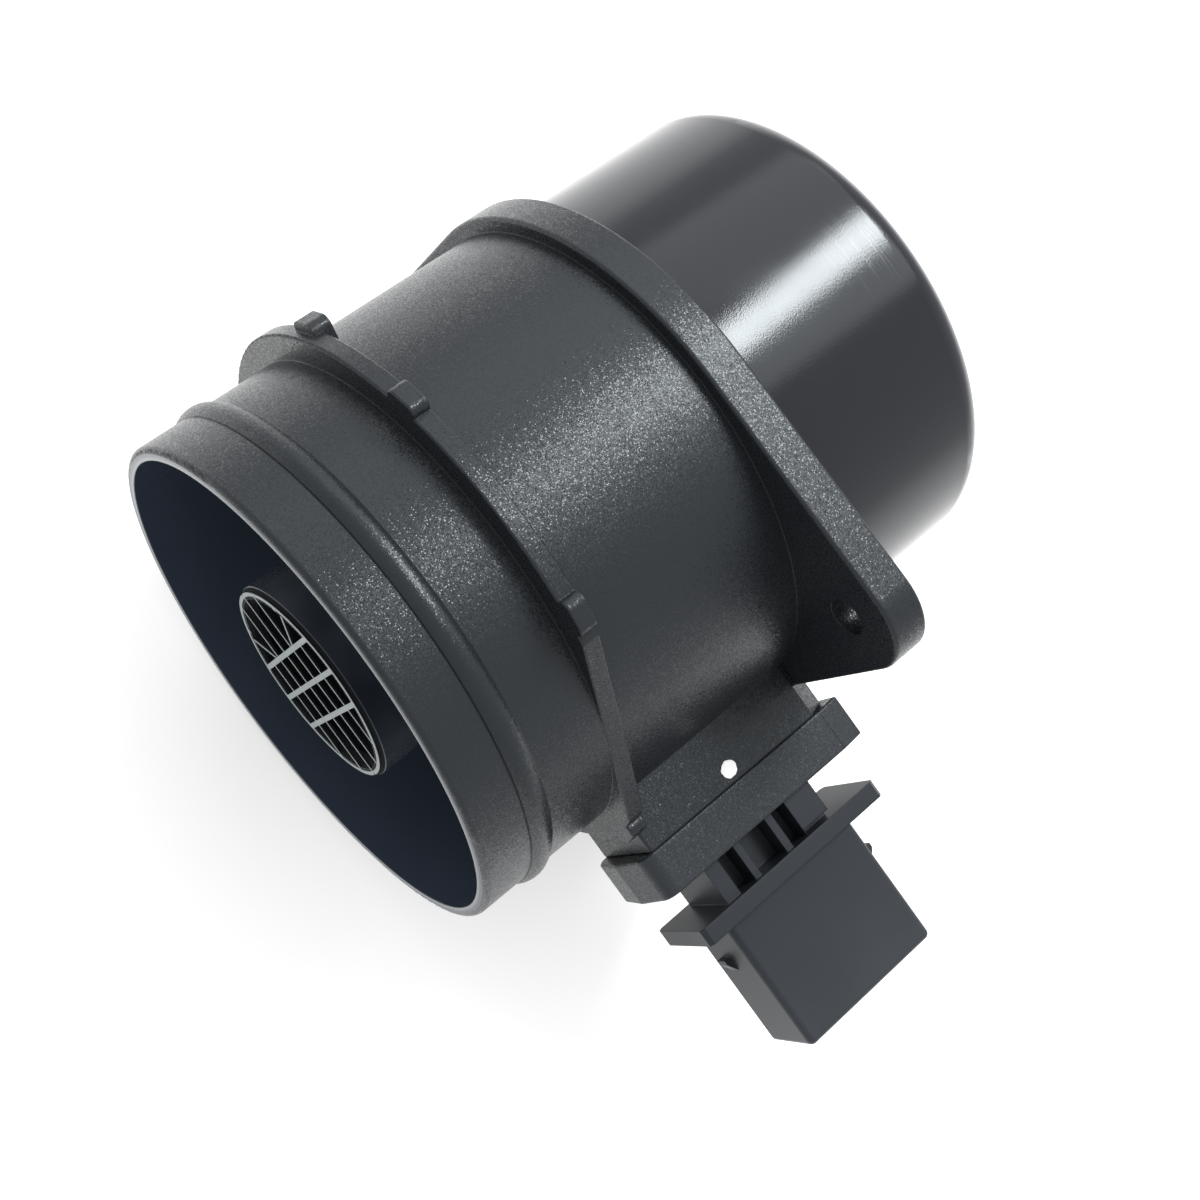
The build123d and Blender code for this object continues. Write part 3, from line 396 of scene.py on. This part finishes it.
# Paler toward the connector's open end: painted reflection.
painted_sheen = both(tree, step_node(tree, y, *PAINTED_SHEEN_STARTS), mix_values(tree, cloud, *PAINTED_SHEEN_CLOUDS))
long_seam = band_node(tree, z, SEAM_RISE, SEAM_HALF_WIDTH)
end_seam = band_node(tree, x, FLANGE_MOULD_LINE, MOULD_LINE_HALF_WIDTH)
seam = both(tree, flange, either(tree, long_seam, end_seam))
grain = erosion(tree, place)
facet, lean = facets(tree, place)
facet = both(tree, facet, flange)
base = mix_colours(tree, connector, MODULE_GRAINED, mix_colours(tree, painted_sheen, MODULE_SATIN, MODULE_PAINTED_SHEEN))
tree.links.new(mix_colours(tree, seam, base, SEAM_COLOUR), shader.inputs["Base Color"])
flange_rough = mix_values(tree, cloud, *GRAINED_ROUGHNESS)
rough = mix_values(tree, connector, flange_rough, mix_values(tree, cloud, *SATIN_ROUGHNESS))
tree.links.new(mix_values(tree, facet, rough, FACET_ROUGHNESS), shader.inputs["Roughness"])
relief = mix_values(tree, connector, RELIEF_ON_FLANGE, RELIEF_ON_SATIN)
relieved = bump(tree, grain, relief, GRAIN_DEPTH, EDGE_SOFTNESS)
tree.links.new(leaned(tree, relieved, facet, lean), shader.inputs["Normal"])
dress("sensor_body", module_plastic)


# ---- measuring_tube ---------------------------------------------------------------------------
# The inner tube is moulded with the same polish as the bore, and four vanes carry it. Its outside is
# painted with pale blotches as painted reflection, and its end ring and its inside are painted near black
# as painted shade.
TUBE_SKIN = 0.01685  # a radius just under the tube's outside
TUBE_DARK = (0.014, 0.018, 0.025)
TUBE_PAINTED_REFLECTION = (0.042, 0.049, 0.060)
TUBE_END_PAINTED_SHADE = (0.0010, 0.0012, 0.0016)
TUBE_ROUGHNESS = 0.25

tube_black, shader, tree = new_material("tube_black", TUBE_ROUGHNESS)
place, x, y, z = object_axes(tree)
skin = step_node(tree, from_axis(tree, y, z), TUBE_SKIN, TUBE_SKIN + 0.0001)
smear = noise(tree, place, 70.0, 2.0)
# Pale blotches on the tube's outside: painted reflection.
tube_painted_reflection = mix_colours(tree, step_node(tree, smear, 0.35, 0.65), TUBE_DARK, TUBE_PAINTED_REFLECTION)
# The end ring and the inside are painted near black: painted shade.
tree.links.new(mix_colours(tree, skin, TUBE_END_PAINTED_SHADE, tube_painted_reflection), shader.inputs["Base Color"])
tree.links.new(mix_values(tree, skin, 1.0, TUBE_ROUGHNESS), shader.inputs["Roughness"])
dress("measuring_tube", tube_black)


# ---- outlet_grid ------------------------------------------------------------------------------
# The outlet grid is thin stamped metal, pressed into the end of the measuring tube. Its face is bright
# and a little dulled; its collar and the sides of its bars are painted near black as painted shade, and
# a band of its rim's face is painted the same near black.
GRID_FACE = -0.06616  # X, just behind the front of the bars
GRID_RIM_INSIDE = 0.01542
GRID_RIM_BRIGHT = 0.01585
GRID_LONG_PITCH = 0.0052
GRID_LONG_HALF_WIDTH = 0.00014
GRID_CROSS_PITCH = 0.00565
GRID_CROSS_HALF_WIDTH = 0.0003
GRID_METAL = (0.34, 0.37, 0.36)
GRID_METAL_DULL = (0.17, 0.185, 0.185)
GRID_METAL_ROUGHNESS = (0.38, 0.55)
GRID_METALLIC = 0.6
GRID_PAINTED_SHADE = (0.004, 0.0045, 0.006)

grid_metal, shader, tree = new_material("grid_metal", 0.45)
place, x, y, z = object_axes(tree)
radius = from_axis(tree, y, z)
rim = step_node(tree, radius, GRID_RIM_BRIGHT - 0.00005, GRID_RIM_BRIGHT)
bright = either(tree, rim, step_node(tree, radius, GRID_RIM_INSIDE, GRID_RIM_INSIDE - 0.00002))
for step in (-1, 0, 1):
    bright = either(tree, bright, band_node(tree, y, step * GRID_CROSS_PITCH, GRID_CROSS_HALF_WIDTH))
for step in (-2, -1, 0, 1, 2):
    bright = either(tree, bright, band_node(tree, z, step * GRID_LONG_PITCH, GRID_LONG_HALF_WIDTH))
bright = both(tree, bright, step_node(tree, x, GRID_FACE + 0.00002, GRID_FACE))
cloud = noise(tree, place, 900.0, 3.0)
metal = mix_colours(tree, cloud, GRID_METAL_DULL, GRID_METAL)
# All but the front of the bars and rim is painted near black: painted shade.
tree.links.new(mix_colours(tree, bright, GRID_PAINTED_SHADE, metal), shader.inputs["Base Color"])
tree.links.new(math_node(tree, "MULTIPLY", bright, GRID_METALLIC), shader.inputs["Metallic"])
metal_rough = mix_values(tree, cloud, *GRID_METAL_ROUGHNESS)
tree.links.new(mix_values(tree, bright, 1.0, metal_rough), shader.inputs["Roughness"])
dress("outlet_grid", grid_metal)


# ---- inlet_grid, seal_ring, electronics_cover and channel_cover --------------------------------
# The pieces of plastic and rubber inside. The inlet grid plugs into the measuring tube, the ring seals
# the plug in its well, and the two covers are lids glued to the finger.
PLAIN_DARKER = 0.85
PLAIN_LIGHTER = 1.12
PLAIN_CLOUD_SCALE = 120.0
PLAIN_RELIEF_SCALE = 1500.0
PLAIN_RELIEF_DEPTH = 0.00001
PLAIN_EDGE_SOFTNESS = 0.0001


def plain_finish(name, colour, roughness, metallic=0.0):
    """A material whose colour and gloss vary a little over the surface."""
    material, shader, tree = new_material(name, roughness)
    shader.inputs["Metallic"].default_value = metallic
    place, x, y, z = object_axes(tree)
    cloud = noise(tree, place, PLAIN_CLOUD_SCALE, 3.0)
    grain = noise(tree, place, PLAIN_RELIEF_SCALE, 2.0)
    darker = tuple(PLAIN_DARKER * part for part in colour)
    lighter = tuple(min(1.0, PLAIN_LIGHTER * part) for part in colour)
    tree.links.new(mix_colours(tree, cloud, darker, lighter), shader.inputs["Base Color"])
    tree.links.new(mix_values(tree, cloud, 0.85 * roughness, 1.15 * roughness), shader.inputs["Roughness"])
    normal = bump(tree, grain, 0.6, PLAIN_RELIEF_DEPTH, PLAIN_EDGE_SOFTNESS)
    tree.links.new(normal, shader.inputs["Normal"])
    return material


cover_black = plain_finish("cover_black", (0.022, 0.023, 0.026), 0.4)
dress("inlet_grid", plain_finish("inner_black", (0.0050, 0.0060, 0.0080), 0.3))
dress("seal_ring", plain_finish("seal_rubber", (0.012, 0.012, 0.013), 0.6))
dress("electronics_cover", cover_black)
dress("channel_cover", cover_black)


# ---- carrier_plate, circuit_board, signal_chip and capacitors ----------------------------------
# The electronics in the finger: a rolled aluminium plate carries a board of fired ceramic, which has a
# moulded epoxy chip and two ceramic capacitors on it.
fired_ceramic = plain_finish("fired_ceramic", (0.82, 0.81, 0.76), 0.55)
dress("carrier_plate", plain_finish("rolled_aluminium", (0.78, 0.79, 0.80), 0.3, metallic=1.0))
dress("circuit_board", fired_ceramic)
dress("signal_chip", plain_finish("black_epoxy", (0.02, 0.02, 0.022), 0.35))
dress("capacitors", fired_ceramic)


# ---- chip_holder, sensor_chip, thermistor and thermistor_legs ----------------------------------
# The sensing pieces: a thin silicon chip on a stamped steel holder in the air channel, and a glass
# bead on two tinned legs, which reads the air's temperature.
tin_plate = plain_finish("tin_plate", (0.80, 0.79, 0.76), 0.28, metallic=1.0)
dress("chip_holder", plain_finish("stamped_steel", (0.60, 0.60, 0.61), 0.35, metallic=1.0))
dress("sensor_chip", plain_finish("silicon", (0.16, 0.20, 0.32), 0.12, metallic=0.7))
dress("thermistor", plain_finish("glass_bead", (0.45, 0.22, 0.06), 0.12))
dress("thermistor_legs", tin_plate)


# ---- flange_screws and terminals ---------------------------------------------------------------
# Two zinc-plated screws hold the module down on the boss, and five tinned blades stand in the
# connector's socket.
TERMINALS = 5

dress("flange_screws", plain_finish("zinc_plate", (0.62, 0.62, 0.60), 0.32, metallic=1.0))
for number in range(1, TERMINALS + 1):
    dress(f"terminal_{number}", tin_plate)


# ---- paint_dot --------------------------------------------------------------------------------
# An inspector's dab of white paint on the side of the boss. It is slightly uneven in outline, and its
# top is domed where the wet paint stood.
DOT_PLACE = (-0.0238, -0.0481, 0.0100)
DOT_RADIUS = 0.00138
DOT_HEIGHT = 0.00012
DOT_SLOPE = 0.00025
DOT_CROWN = 0.00006
DOT_POINTS = 40
DOT_WAVES = ((2, 0.05, 0.6), (5, 0.03, 0.0), (9, 0.02, 1.0))  # waves round the edge, height, turn

bpy.ops.mesh.primitive_circle_add(
    vertices=DOT_POINTS, radius=DOT_RADIUS, fill_type="NGON", location=DOT_PLACE)
paint_dot = bpy.context.object
paint_dot.name = "paint_dot"
for point in paint_dot.data.vertices:
    turn = math.atan2(point.co.y, point.co.x)
    swell = 1.0
    for count, height, start in DOT_WAVES:
        swell += height * math.sin(count * turn + start)
    point.co *= swell
bpy.ops.object.mode_set(mode="EDIT")
bpy.ops.mesh.select_all(action="SELECT")
bpy.ops.mesh.extrude_region_move(TRANSFORM_OT_translate={"value": (0, 0, DOT_HEIGHT)})
bpy.ops.mesh.inset(thickness=DOT_SLOPE)
bpy.ops.transform.translate(value=(0, 0, DOT_CROWN))
bpy.ops.mesh.select_all(action="SELECT")
bpy.ops.mesh.normals_make_consistent(inside=False)
bpy.ops.object.mode_set(mode="OBJECT")
bpy.ops.object.transform_apply(location=True, rotation=True, scale=True)
paint_dot.data.materials.append(plain_finish("white_paint", (0.88, 0.88, 0.87), 0.4))
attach(paint_dot, "root")
bpy.ops.object.select_all(action="DESELECT")
